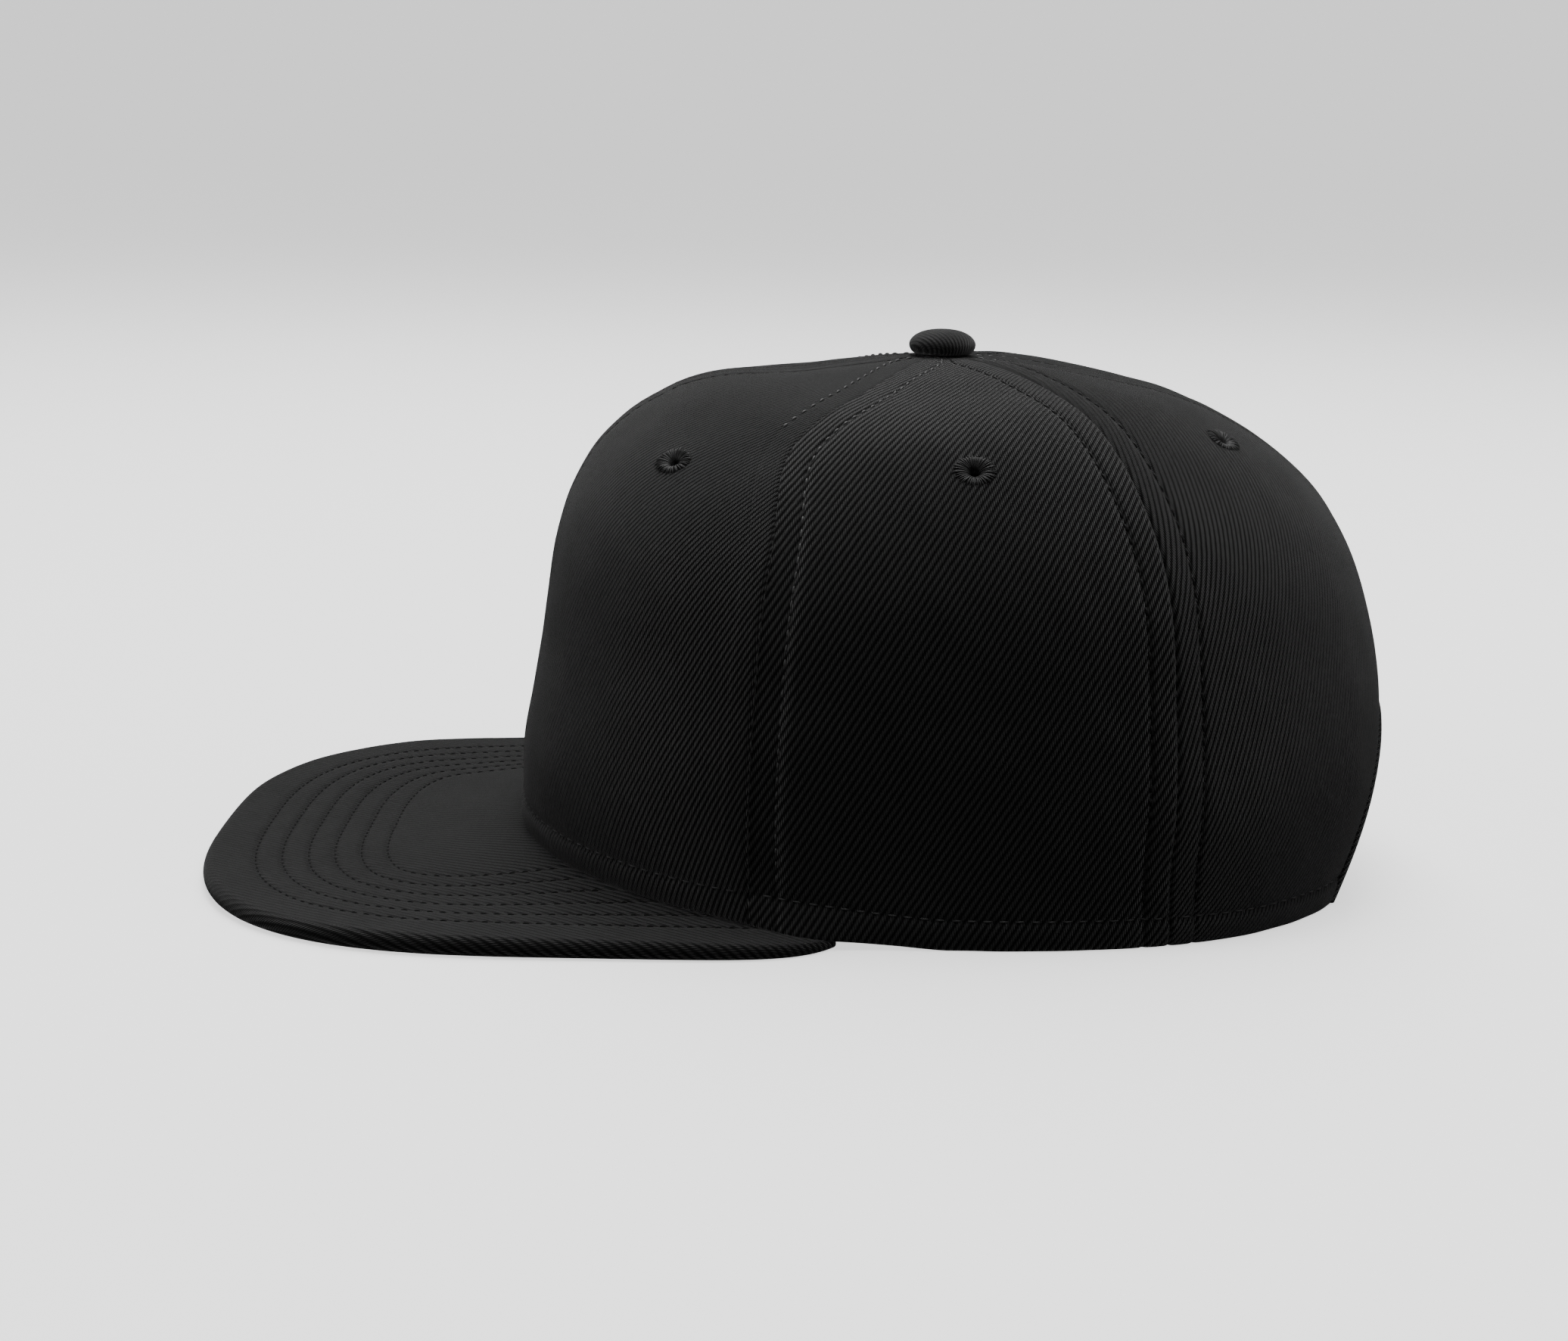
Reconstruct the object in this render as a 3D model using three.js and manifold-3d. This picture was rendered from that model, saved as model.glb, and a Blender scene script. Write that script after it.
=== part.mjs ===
// Snapback cap: a six-panel cloth crown with a flat peak, a top button, six eyelets,
// an inner sweatband and a plain strap across the rear opening.
// Millimetres, +Z up. The peak points to -Y and the wearer's left is +X.
// Z = 0 is the surface that the cap rests on.

import * as THREE from "three";
import { mergeVertices } from "three/addons/utils/BufferGeometryUtils.js";
import Module from "manifold-3d";

const wasm = await Module();
wasm.setup();

// Driving sizes. The crown's own centre is the origin while the pieces are made.
const GAP = 0.3;
const CLOTH = 2.0;
const CROWN = {
  frontReach: 102.2,
  rearReach: 102.7,
  halfWidth: 86,
  height: 126.2,
  ovalPower: 2.28,
  frontHemLift: 11.2,
  topHole: 3,
};
const SEAM = {
  front: 61,
  frontDip: 5,
  dipRise: 59,
  dipSpread: 8,
  rear: 121.2,
  rearLean: 2.3,
  rearFlare: 2,
  flareRise: 12,
};
const ARCH = { halfWidth: 41.1, height: 41.7, power: 2.2 };
const PEAK = {
  projection: 74.9,
  overhang: 7.9,
  aheadShare: 0.873,
  behindShare: 0.69,
  frontPower: 2.85,
  rearPower: 6,
  thickness: 4.6,
  endThickness: 2.4,
};
const EYELET = { radius: 4.9, hole: 1.2, barrel: 2.2, flange: 1.0 };
const BUTTON = { radius: 8.0, height: 6.0 };
const SWEATBAND = { height: 30, thickness: 1.2, hemGap: 1 };
const STRAP = { height: 20, thickness: 1.5, overlap: 13, sag: 2.1, lift: 2 };

// How far the crown swells past a plain ellipse, by angle of rise and by place round the head
const SWELL = [
  { rise: 0, front: 0.99, frontQuarter: 1.0, side: 0.98, rearQuarter: 1.01, rear: 1.02 },
  { rise: 15, front: 1.02, frontQuarter: 1.065, side: 1.0, rearQuarter: 1.09, rear: 1.1 },
  { rise: 30, front: 1.055, frontQuarter: 1.105, side: 1.07, rearQuarter: 1.125, rear: 1.165 },
  { rise: 45, front: 1.145, frontQuarter: 1.16, side: 1.15, rearQuarter: 1.17, rear: 1.18 },
  { rise: 60, front: 1.135, frontQuarter: 1.11, side: 1.145, rearQuarter: 1.125, rear: 1.11 },
  { rise: 75, front: 1.022, frontQuarter: 1.027, side: 1.045, rearQuarter: 1.04, rear: 1.025 },
  { rise: 90, front: 1.0, frontQuarter: 1.0, side: 1.0, rearQuarter: 1.0, rear: 1.0 },
];
const PLACES = ["front", "frontQuarter", "side", "rearQuarter", "rear"];

// Eyelet places on the wearer's left: share of the way across the panel, and angle of rise
const EYELETS = [
  { panel: "front", across: 0.61, rise: 53 },
  { panel: "side", across: 0.558, rise: 57.8 },
  { panel: "rear", across: 0.512, rise: 56.5 },
];

const rad = THREE.MathUtils.degToRad;
const deg = THREE.MathUtils.radToDeg;
const mix = THREE.MathUtils.lerp;
const clamp = THREE.MathUtils.clamp;

function throughPoints(before, start, end, after, share) {
  const a = 2 * start;
  const b = (end - before) * share;
  const c = (2 * before - 5 * start + 4 * end - after) * share ** 2;
  const d = (3 * start - before - 3 * end + after) * share ** 3;
  return 0.5 * (a + b + c + d);
}

function swellInRow(row, angle) {
  const place = clamp(Math.abs(angle) / 45, 0, 3.9999);
  const first = Math.floor(place);
  const mirrored = (i) => row[PLACES[i < 0 ? -i : i > 4 ? 8 - i : i]];
  return throughPoints(
    mirrored(first - 1), mirrored(first), mirrored(first + 1), mirrored(first + 2), place - first,
  );
}

function swellAt(angle, rise) {
  const place = clamp(rise / 15, 0, 5.9999);
  const first = Math.floor(place);
  const below = first > 0
    ? swellInRow(SWELL[first - 1], angle)
    : 2 * swellInRow(SWELL[0], angle) - swellInRow(SWELL[1], angle);
  const above = swellInRow(SWELL[first + 2 > 6 ? 10 - first : first + 2], angle);
  const start = swellInRow(SWELL[first], angle);
  const end = swellInRow(SWELL[first + 1], angle);
  return throughPoints(below, start, end, above, place - first);
}

function baseReach(angle) {
  const along = Math.cos(rad(angle));
  const across = Math.sin(rad(angle));
  const reach = along > 0 ? CROWN.frontReach : CROWN.rearReach;
  const power = CROWN.ovalPower;
  const sum = Math.abs(along / reach) ** power + Math.abs(across / CROWN.halfWidth) ** power;
  return sum ** (-1 / power);
}

function outerPoint(angle, rise) {
  const level = Math.cos(rad(rise));
  const up = Math.sin(rad(rise));
  const ellipse = 1 / Math.hypot(level / baseReach(angle), up / CROWN.height);
  const length = ellipse * swellAt(angle, rise);
  return new THREE.Vector3(
    length * level * Math.sin(rad(angle)),
    -length * level * Math.cos(rad(angle)),
    length * up,
  );
}

function outwardNormal(angle, rise) {
  const step = 0.2;
  const round = outerPoint(angle + step, rise).sub(outerPoint(angle - step, rise));
  const upward = outerPoint(angle, rise + step).sub(outerPoint(angle, rise - step));
  return round.cross(upward).normalize();
}

// A point of the crown, moved inward from its outer face by a depth
function crownPoint(angle, rise, depth = 0) {
  return outerPoint(angle, rise).addScaledVector(outwardNormal(angle, rise), -depth);
}

// The angle of rise at which the crown reaches a height
function riseAtHeight(angle, height) {
  let level = baseReach(angle);
  for (let pass = 0; pass < 8; pass += 1) {
    const point = outerPoint(angle, deg(Math.atan2(height, level)));
    level = Math.hypot(point.x, point.y);
  }
  return deg(Math.atan2(height, level));
}

function hemHeight(angle) {
  return CROWN.frontHemLift * Math.max(0, Math.cos(rad(angle))) ** 1.3;
}

// Closed solids

function solidFrom(points, triangles) {
  const geometry = new THREE.BufferGeometry();
  geometry.setAttribute("position", new THREE.Float32BufferAttribute(points.flatMap((p) => [p.x, p.y, p.z]), 3));
  geometry.setIndex(triangles.flat());
  return geometry;
}

// A sheet with two faces, each a grid of rows and columns of points
function shellSolid(outer, inner) {
  const rows = outer.length;
  const columns = outer[0].length;
  const count = rows * columns;
  const points = [...outer.flat(), ...inner.flat()];
  const at = (row, column) => row * columns + column;
  const triangles = [];
  for (let row = 0; row < rows - 1; row += 1) {
    for (let column = 0; column < columns - 1; column += 1) {
      const a = at(row, column);
      const b = at(row, column + 1);
      const c = at(row + 1, column + 1);
      const d = at(row + 1, column);
      triangles.push([a, b, c], [a, c, d]);
      triangles.push([a + count, c + count, b + count], [a + count, d + count, c + count]);
    }
  }
  const rim = [];
  for (let column = 0; column < columns - 1; column += 1) rim.push(at(0, column));
  for (let row = 0; row < rows - 1; row += 1) rim.push(at(row, columns - 1));
  for (let column = columns - 1; column > 0; column -= 1) rim.push(at(rows - 1, column));
  for (let row = rows - 1; row > 0; row -= 1) rim.push(at(row, 0));
  rim.forEach((a, i) => {
    const b = rim[(i + 1) % rim.length];
    triangles.push([a, a + count, b + count], [a, b + count, b]);
  });
  return solidFrom(points, triangles);
}

// A closed outline swept through a list of places, with flat ends
function sweptSolid(sections) {
  const size = sections[0].length;
  const points = sections.flat();
  const triangles = [];
  for (let place = 0; place < sections.length - 1; place += 1) {
    for (let i = 0; i < size; i += 1) {
      const a = place * size + i;
      const b = place * size + ((i + 1) % size);
      triangles.push([a, b, b + size], [a, b + size, a + size]);
    }
  }
  const last = (sections.length - 1) * size;
  const half = size / 2;
  for (let i = 0; i < half - 1; i += 1) {
    const a = i;
    const b = i + 1;
    const c = size - 2 - i;
    const d = size - 1 - i;
    triangles.push([a, c, b], [a, d, c]);
    triangles.push([last + a, last + b, last + c], [last + a, last + c, last + d]);
  }
  return solidFrom(points, triangles);
}

// A turned ring about +Z from a closed profile of radius and height
function turnedRing(profile, steps) {
  const points = [];
  const triangles = [];
  const size = profile.length;
  for (let step = 0; step < steps; step += 1) {
    const turn = (2 * Math.PI * step) / steps;
    profile.forEach(([radius, height]) => {
      points.push(new THREE.Vector3(radius * Math.cos(turn), radius * Math.sin(turn), height));
    });
    const next = (step + 1) % steps;
    for (let i = 0; i < size; i += 1) {
      const j = (i + 1) % size;
      const a = step * size + i;
      const b = next * size + i;
      triangles.push([a, b, next * size + j], [a, next * size + j, step * size + j]);
    }
  }
  return solidFrom(points, triangles);
}

// A turned solid about +Z whose profile starts and ends on the axis
function turnedSolid(profile, steps) {
  const inner = profile.slice(1, -1);
  const points = [];
  const triangles = [];
  const size = inner.length;
  for (let step = 0; step < steps; step += 1) {
    const turn = (2 * Math.PI * step) / steps;
    inner.forEach(([radius, height]) => {
      points.push(new THREE.Vector3(radius * Math.cos(turn), radius * Math.sin(turn), height));
    });
  }
  points.push(new THREE.Vector3(0, 0, profile[0][1]), new THREE.Vector3(0, 0, profile.at(-1)[1]));
  const bottom = points.length - 2;
  const top = points.length - 1;
  for (let step = 0; step < steps; step += 1) {
    const here = step * size;
    const next = ((step + 1) % steps) * size;
    triangles.push([bottom, next, here], [top, here + size - 1, next + size - 1]);
    for (let i = 0; i < size - 1; i += 1) {
      triangles.push([here + i, next + i, next + i + 1], [here + i, next + i + 1, here + i + 1]);
    }
  }
  return solidFrom(points, triangles);
}

// Cutting

function toManifold(geometry) {
  const bare = geometry.clone();
  bare.deleteAttribute("normal");
  bare.deleteAttribute("uv");
  const merged = mergeVertices(bare, 1e-4);
  return new wasm.Manifold(new wasm.Mesh({
    numProp: 3,
    vertProperties: new Float32Array(merged.attributes.position.array),
    triVerts: new Uint32Array(merged.index.array),
  }));
}

function cut(geometry, tools) {
  let solid = toManifold(geometry);
  tools.forEach((tool) => {
    solid = solid.subtract(toManifold(tool));
  });
  const mesh = solid.getMesh();
  const result = new THREE.BufferGeometry();
  result.setAttribute("position", new THREE.Float32BufferAttribute(mesh.vertProperties, 3));
  result.setIndex([...mesh.triVerts]);
  return result;
}

function mirroredAcross(geometry) {
  const mirror = geometry.clone();
  mirror.scale(-1, 1, 1);
  const index = mirror.index.array;
  for (let i = 0; i < index.length; i += 3) {
    [index[i], index[i + 1]] = [index[i + 1], index[i]];
  }
  return mirror;
}

// Places an upright piece on the crown, its +Z along the outward normal
function standOnCrown(geometry, angle, rise) {
  const turn = new THREE.Quaternion().setFromUnitVectors(
    new THREE.Vector3(0, 0, 1), outwardNormal(angle, rise),
  );
  geometry.applyQuaternion(turn);
  const foot = outerPoint(angle, rise);
  geometry.translate(foot.x, foot.y, foot.z);
  return geometry;
}

// Crown panels, made for the wearer's left

function panelSheet(startAngle, endAngle, columns, rows) {
  const faces = [0, CLOTH].map((depth) => {
    const face = [];
    for (let row = 0; row <= rows; row += 1) {
      const line = [];
      for (let column = 0; column <= columns; column += 1) {
        const share = column / columns;
        const plain = mix(startAngle(0), endAngle(0), share);
        const low = riseAtHeight(plain, hemHeight(plain));
        const high = 90 - deg(Math.atan2(CROWN.topHole, CROWN.height));
        const rise = mix(low, high, row / rows);
        const point = outerPoint(plain, rise);
        const level = Math.hypot(point.x, point.y);
        const inset = deg(GAP / 2 / level);
        const angle = mix(startAngle(rise) + inset, endAngle(rise) - inset, share);
        line.push(crownPoint(angle, rise, depth));
      }
      face.push(line);
    }
    return face;
  });
  return shellSolid(faces[0], faces[1]);
}

const frontCentre = () => 0;
const frontSeam = (rise) => {
  const fromDip = (rise - SEAM.dipRise) / SEAM.dipSpread;
  return SEAM.front - SEAM.frontDip * Math.exp(-(fromDip ** 2));
};
const rearSeam = (rise) => {
  const nearHem = Math.max(0, 1 - Math.max(0, rise) / SEAM.flareRise);
  return SEAM.rear + (SEAM.rearLean * rise) / 90 + SEAM.rearFlare * nearHem ** 1.3;
};
const rearCentre = () => 180;
const PANEL_EDGES = {
  front: [frontCentre, frontSeam],
  side: [frontSeam, rearSeam],
  rear: [rearSeam, rearCentre],
};

function eyeletAngle({ panel, across, rise }) {
  const [start, end] = PANEL_EDGES[panel];
  return mix(start(rise), end(rise), across);
}

function eyeletHole(place) {
  const drill = new THREE.CylinderGeometry(EYELET.barrel + GAP, EYELET.barrel + GAP, 4 * CLOTH, 20);
  drill.rotateX(Math.PI / 2);
  return standOnCrown(drill, eyeletAngle(place), place.rise);
}

function archCutter() {
  const outline = new THREE.Shape();
  outline.moveTo(-ARCH.halfWidth, -ARCH.height);
  const steps = 32;
  for (let step = 0; step <= steps; step += 1) {
    const turn = Math.PI * (1 - step / steps);
    const across = Math.sign(Math.cos(turn)) * Math.abs(Math.cos(turn)) ** (2 / ARCH.power);
    const up = Math.sin(turn) ** (2 / ARCH.power);
    outline.lineTo(ARCH.halfWidth * across, ARCH.height * up);
  }
  outline.lineTo(ARCH.halfWidth, -ARCH.height);
  const block = new THREE.ExtrudeGeometry(outline, { depth: CROWN.rearReach, bevelEnabled: false });
  block.rotateX(Math.PI / 2);
  block.translate(0, 1.5 * CROWN.rearReach, 0);
  return block;
}

function panel(place) {
  const [start, end] = PANEL_EDGES[place.panel];
  const holes = [eyeletHole(place)];
  if (place.panel === "rear") holes.push(archCutter());
  return cut(panelSheet(start, end, 12, 16), holes);
}

// Small round pieces

function eyelet(place) {
  const { radius, hole, barrel, flange } = EYELET;
  const profile = [
    [hole, -CLOTH],
    [barrel, -CLOTH],
    [barrel, GAP],
    [radius, GAP],
    [radius - 0.1, GAP + 0.6 * flange],
    [radius - 1.2, GAP + flange],
    [hole + 0.8, GAP + flange],
    [hole, GAP + 0.5 * flange],
  ];
  return standOnCrown(turnedRing(profile, 20), eyeletAngle(place), place.rise);
}

function button() {
  const { radius, height } = BUTTON;
  const profile = [[0, 0], [radius * 0.8, 0], [radius * 0.95, 0.1 * height]];
  const steps = 6;
  for (let step = 0; step <= steps; step += 1) {
    const turn = (Math.PI / 2) * (step / steps);
    profile.push([radius * Math.cos(turn) ** 0.8, height * (0.25 + 0.75 * Math.sin(turn))]);
  }
  const dome = turnedSolid(profile, 24);
  dome.translate(0, 0, CROWN.height + GAP);
  return dome;
}

// Peak

// The centre line of the rounded rim, seen from above, by angle round the peak's own centre
function peakRim(angle) {
  const along = Math.cos(rad(angle));
  const across = Math.sin(rad(angle));
  const centre = -PEAK.aheadShare * CROWN.frontReach;
  const frontReach = CROWN.frontReach + PEAK.projection + centre;
  const rearReach = PEAK.behindShare * CROWN.frontReach;
  const halfWidth = CROWN.halfWidth + PEAK.overhang;
  const power = along > 0 ? PEAK.frontPower : PEAK.rearPower;
  const sum = Math.abs(along / (along > 0 ? frontReach : rearReach)) ** power
    + Math.abs(across / halfWidth) ** power;
  const length = sum ** (-1 / power);
  return new THREE.Vector2(length * across, centre - length * along);
}

// The outer face of the crown beside the peak, moved outward by a distance
function crownWall(angle, height, away) {
  const wall = outerPoint(angle, riseAtHeight(angle, height));
  const facing = outwardNormal(angle, 1);
  const level = new THREE.Vector2(facing.x, facing.y).normalize();
  return new THREE.Vector2(wall.x, wall.y).addScaledVector(level, away);
}

// Where the rim curls back to meet the crown, as an angle at the rim and one at the crown
function peakEnd() {
  for (let rimAngle = 90; rimAngle < 170; rimAngle += 0.25) {
    const rim = peakRim(rimAngle);
    const crownAngle = deg(Math.atan2(rim.x, -rim.y));
    const wall = crownWall(crownAngle, PEAK.thickness, GAP + PEAK.endThickness / 2);
    if (rim.length() < wall.length()) return { rimAngle, crownAngle };
  }
  return { rimAngle: 125, crownAngle: 72 };
}

function peakSection(share, end) {
  const crownAngle = end.crownAngle * share;
  const rimAngle = end.rimAngle * share;
  const thick = mix(PEAK.thickness, PEAK.endThickness, Math.abs(share) ** 8);
  const room = hemHeight(crownAngle) - thick - GAP;
  const tuck = mix(GAP, -CLOTH, clamp(room, 0, 1));
  const start = crownWall(crownAngle, Math.max(hemHeight(crownAngle), thick), tuck);
  const rim = peakRim(rimAngle);
  const along = peakRim(rimAngle + 0.5).sub(peakRim(rimAngle - 0.5)).normalize();
  const outward = new THREE.Vector2(along.y, -along.x);
  const top = [];
  const bottom = [];
  [0, 0.15, 0.3, 0.45, 0.6, 0.8, 1].forEach((across) => {
    const place = start.clone().lerp(rim, across);
    const low = Math.max(0, room) * Math.max(0, 1 - across / 0.6) ** 2;
    top.push(new THREE.Vector3(place.x, place.y, low + thick));
    bottom.push(new THREE.Vector3(place.x, place.y, low));
  });
  [60, 20, -20, -60].forEach((bend) => {
    const edge = rim.clone().addScaledVector(outward, (thick / 2) * Math.cos(rad(bend)));
    top.push(new THREE.Vector3(edge.x, edge.y, (thick / 2) * (1 + Math.sin(rad(bend)))));
  });
  return [...top, ...bottom.reverse()];
}

function peak() {
  const steps = 40;
  const end = peakEnd();
  const sections = [];
  for (let step = 0; step <= steps; step += 1) sections.push(peakSection(mix(-1, 1, step / steps), end));
  return sweptSolid(sections);
}

// Bands inside the crown, each with a low, a middle and a high row

function bandSheet({ from, to, steps, lowAt, height, depthAt, thickness }) {
  const faces = [0, thickness].map((extra) => [0, 0.5, 1].map((share) => {
    const row = [];
    for (let step = 0; step <= steps; step += 1) {
      const angle = mix(from, to, step / steps);
      const rise = riseAtHeight(angle, lowAt(angle) + share * height);
      row.push(crownPoint(angle, rise, depthAt(angle) + extra));
    }
    return row;
  }));
  return shellSolid(faces[0], faces[1]);
}

// The angle from the rear centre at which the strap ends, past the corner of the opening
function strapHalfAngle() {
  return deg(Math.asin((ARCH.halfWidth + STRAP.overlap) / baseReach(180)));
}

function sweatband() {
  const end = 180 - strapHalfAngle() - 1;
  return bandSheet({
    from: -end,
    to: end,
    steps: 48,
    lowAt: (angle) => hemHeight(angle) + SWEATBAND.hemGap,
    height: SWEATBAND.height,
    depthAt: () => CLOTH + 2 * GAP,
    thickness: SWEATBAND.thickness,
  });
}

// One plain strap that bridges the rear opening, a little straighter than the head
function rearStrap() {
  const half = strapHalfAngle();
  return bandSheet({
    from: 180 - half,
    to: 180 + half,
    steps: 24,
    lowAt: () => STRAP.lift,
    height: STRAP.height,
    depthAt: (angle) => CLOTH + 2 * GAP + STRAP.sag * Math.cos(rad((90 * (angle - 180)) / half)) ** 2,
    thickness: STRAP.thickness,
  });
}

// Assembly

const cloth = { color: 0x1d1d20, roughness: 0.95, metalness: 0 };
const thread = { color: 0x18181a, roughness: 0.85, metalness: 0 };
const plastic = { color: 0x141416, roughness: 0.45, metalness: 0 };

const cap = new THREE.Group();
cap.name = "snapback_cap";

function addPiece(name, geometry, look) {
  geometry.computeVertexNormals();
  const mesh = new THREE.Mesh(geometry, new THREE.MeshStandardMaterial(look));
  mesh.name = name;
  mesh.material.name = name;
  cap.add(mesh);
}

EYELETS.forEach((place) => {
  const cloths = panel(place);
  addPiece(`panel_${place.panel}_left`, cloths, cloth);
  addPiece(`panel_${place.panel}_right`, mirroredAcross(cloths), cloth);
  const ring = eyelet(place);
  addPiece(`eyelet_${place.panel}_left`, ring, thread);
  addPiece(`eyelet_${place.panel}_right`, mirroredAcross(ring), thread);
});
addPiece("button", button(), cloth);
addPiece("peak", peak(), cloth);
addPiece("sweatband", sweatband(), cloth);
addPiece("snap_strap", rearStrap(), plastic);

// The finished cap is centred front to back on the origin
const bounds = new THREE.Box3().setFromObject(cap);
const shift = -(bounds.min.y + bounds.max.y) / 2;
cap.children.forEach((mesh) => mesh.geometry.translate(0, shift, 0));

export default cap;
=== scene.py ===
import math

import bpy
import numpy as np
from mathutils import Matrix, Vector


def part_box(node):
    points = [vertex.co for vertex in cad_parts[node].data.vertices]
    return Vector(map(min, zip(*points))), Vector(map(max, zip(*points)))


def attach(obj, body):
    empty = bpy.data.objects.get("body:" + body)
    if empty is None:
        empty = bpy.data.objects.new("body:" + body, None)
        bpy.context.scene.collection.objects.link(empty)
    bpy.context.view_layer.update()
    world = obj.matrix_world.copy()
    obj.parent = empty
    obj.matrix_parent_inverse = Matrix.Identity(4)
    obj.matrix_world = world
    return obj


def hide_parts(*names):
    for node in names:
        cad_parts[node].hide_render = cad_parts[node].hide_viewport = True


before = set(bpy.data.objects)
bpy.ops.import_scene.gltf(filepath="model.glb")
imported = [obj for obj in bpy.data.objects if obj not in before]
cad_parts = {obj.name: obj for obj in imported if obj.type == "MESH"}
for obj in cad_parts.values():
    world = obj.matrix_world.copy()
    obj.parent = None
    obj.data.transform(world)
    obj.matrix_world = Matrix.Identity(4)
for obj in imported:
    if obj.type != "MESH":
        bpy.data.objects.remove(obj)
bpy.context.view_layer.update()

# Sizes in millimetres, shared with the solids

CLOTH = 2.0
GAP = 0.3
CROWN = dict(front=102.2, rear=102.7, half_width=86.0, height=126.2, power=2.28, lift=11.2, top_hole=3.0)
SEAM = dict(
    front=61.0, dip=5.0, dip_rise=59.0, dip_spread=8.0,
    rear=121.2, rear_lean=2.3, rear_flare=2.0, flare_rise=12.0,
)
ARCH = dict(half_width=41.1, height=41.7, power=2.2)
PEAK = dict(
    projection=74.9, overhang=7.9, ahead=0.873, behind=0.69, front_power=2.85, rear_power=6.0,
    thickness=4.6, end_thickness=2.4,
)
SWEATBAND = dict(height=30.0, thickness=1.2, hem_gap=1.0)
STRAP = dict(height=20.0, thickness=1.5, overlap=13.0, sag=2.1, lift=2.0)
BUTTON = dict(radius=8.0, height=6.0)

# Crown swell past a plain ellipse: rows by rise of 15 degrees, columns from front to rear by 45
SWELL = np.array([
    [0.990, 1.000, 0.980, 1.010, 1.020],
    [1.020, 1.065, 1.000, 1.090, 1.100],
    [1.055, 1.105, 1.070, 1.125, 1.165],
    [1.145, 1.160, 1.150, 1.170, 1.180],
    [1.135, 1.110, 1.145, 1.125, 1.110],
    [1.022, 1.027, 1.045, 1.040, 1.025],
    [1.000, 1.000, 1.000, 1.000, 1.000],
])

# Eyelets: panel, share of the way across it, angle of rise
EYELETS = [("front", 0.61, 53.0), ("side", 0.558, 57.8), ("rear", 0.512, 56.5)]

# The seams that bound each panel
PANEL_SEAMS = {
    "front": ("front_centre", "front"),
    "side": ("front", "rear"),
    "rear": ("rear", "rear_centre"),
}

STITCH_FROM_SEAM = 6.4
HEM_BAND = 7.2
# Where a panel is narrower than this, its seams' relief and stitches draw together
NARROW_PANEL = 16.0

# The middle of the crown, which is the button's
low_corner, high_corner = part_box("button")
CROWN_Y = 500 * (low_corner[1] + high_corner[1])


# The crown's surface

def smooth_weights(place, last):
    """The table entry before each place, and the weights of the four entries round it."""
    first = np.floor(np.clip(place, 0, last - 1e-4)).astype(int)
    t = np.clip(place, 0, last - 1e-4) - first
    weights = np.stack([
        -0.5 * t + t**2 - 0.5 * t**3,
        1 - 2.5 * t**2 + 1.5 * t**3,
        0.5 * t + 2 * t**2 - 1.5 * t**3,
        -0.5 * t**2 + 0.5 * t**3,
    ])
    return first, weights


def swell(angle, rise):
    """The crown's swell, blended smoothly between the table's entries."""
    column, column_weights = smooth_weights(np.abs(angle) / 45, 4)
    row, row_weights = smooth_weights(rise / 15, 6)
    total = 0
    for i in range(4):
        c = column + i - 1
        c = np.where(c < 0, -c, c)
        c = np.where(c > 4, 8 - c, c)
        for j in range(4):
            r = row + j - 1
            value = SWELL[np.clip(np.where(r > 6, 12 - r, r), 0, 6), c]
            value = np.where(r < 0, 2 * SWELL[0, c] - SWELL[1, c], value)
            total = total + column_weights[i] * row_weights[j] * value
    return total


def base_reach(angle):
    """Distance from the crown's middle to its plain outline, seen from above."""
    along = np.cos(np.radians(angle))
    across = np.sin(np.radians(angle))
    reach = np.where(along > 0, CROWN["front"], CROWN["rear"])
    power = CROWN["power"]
    return (np.abs(along / reach) ** power + np.abs(across / CROWN["half_width"]) ** power) ** (-1 / power)


def outer_point(angle, rise):
    """The crown's plain outer face, by degrees round from the front and degrees of rise."""
    level = np.cos(np.radians(rise))
    up = np.sin(np.radians(rise))
    length = swell(angle, rise) / np.hypot(level / base_reach(angle), up / CROWN["height"])
    return np.stack([
        length * level * np.sin(np.radians(angle)),
        -length * level * np.cos(np.radians(angle)),
        length * up,
    ], axis=-1)


def outward_normal(angle, rise):
    step = 0.2
    around = outer_point(angle + step, rise) - outer_point(angle - step, rise)
    upward = outer_point(angle, rise + step) - outer_point(angle, rise - step)
    normal = np.cross(around, upward)
    return normal / np.linalg.norm(normal, axis=-1, keepdims=True)


def level_distance(angle, rise):
    point = outer_point(angle, rise)
    return np.hypot(point[..., 0], point[..., 1])


def rise_at_height(angle, height):
    angle, height = np.broadcast_arrays(np.asarray(angle, float), np.asarray(height, float))
    level = base_reach(angle)
    for _ in range(8):
        level = level_distance(angle, np.degrees(np.arctan2(height, level)))
    return np.degrees(np.arctan2(height, level))


def hem_height(angle):
    """The hem is lifted at the front, where it sits on the peak."""
    return CROWN["lift"] * np.maximum(0, np.cos(np.radians(angle))) ** 1.3


def seam_angle(name, rise):
    rise = np.asarray(rise, float)
    if name == "front":
        from_dip = (rise - SEAM["dip_rise"]) / SEAM["dip_spread"]
        return SEAM["front"] - SEAM["dip"] * np.exp(-(from_dip**2))
    if name == "rear":
        near_hem = np.maximum(0, 1 - np.maximum(0, rise) / SEAM["flare_rise"])
        return SEAM["rear"] + SEAM["rear_lean"] * rise / 90 + SEAM["rear_flare"] * near_hem**1.3
    return (0.0 if name == "front_centre" else 180.0) + 0 * rise


def eyelet_angle(panel, across, rise):
    first, last = PANEL_SEAMS[panel]
    return float(seam_angle(first, rise) * (1 - across) + seam_angle(last, rise) * across)


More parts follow.
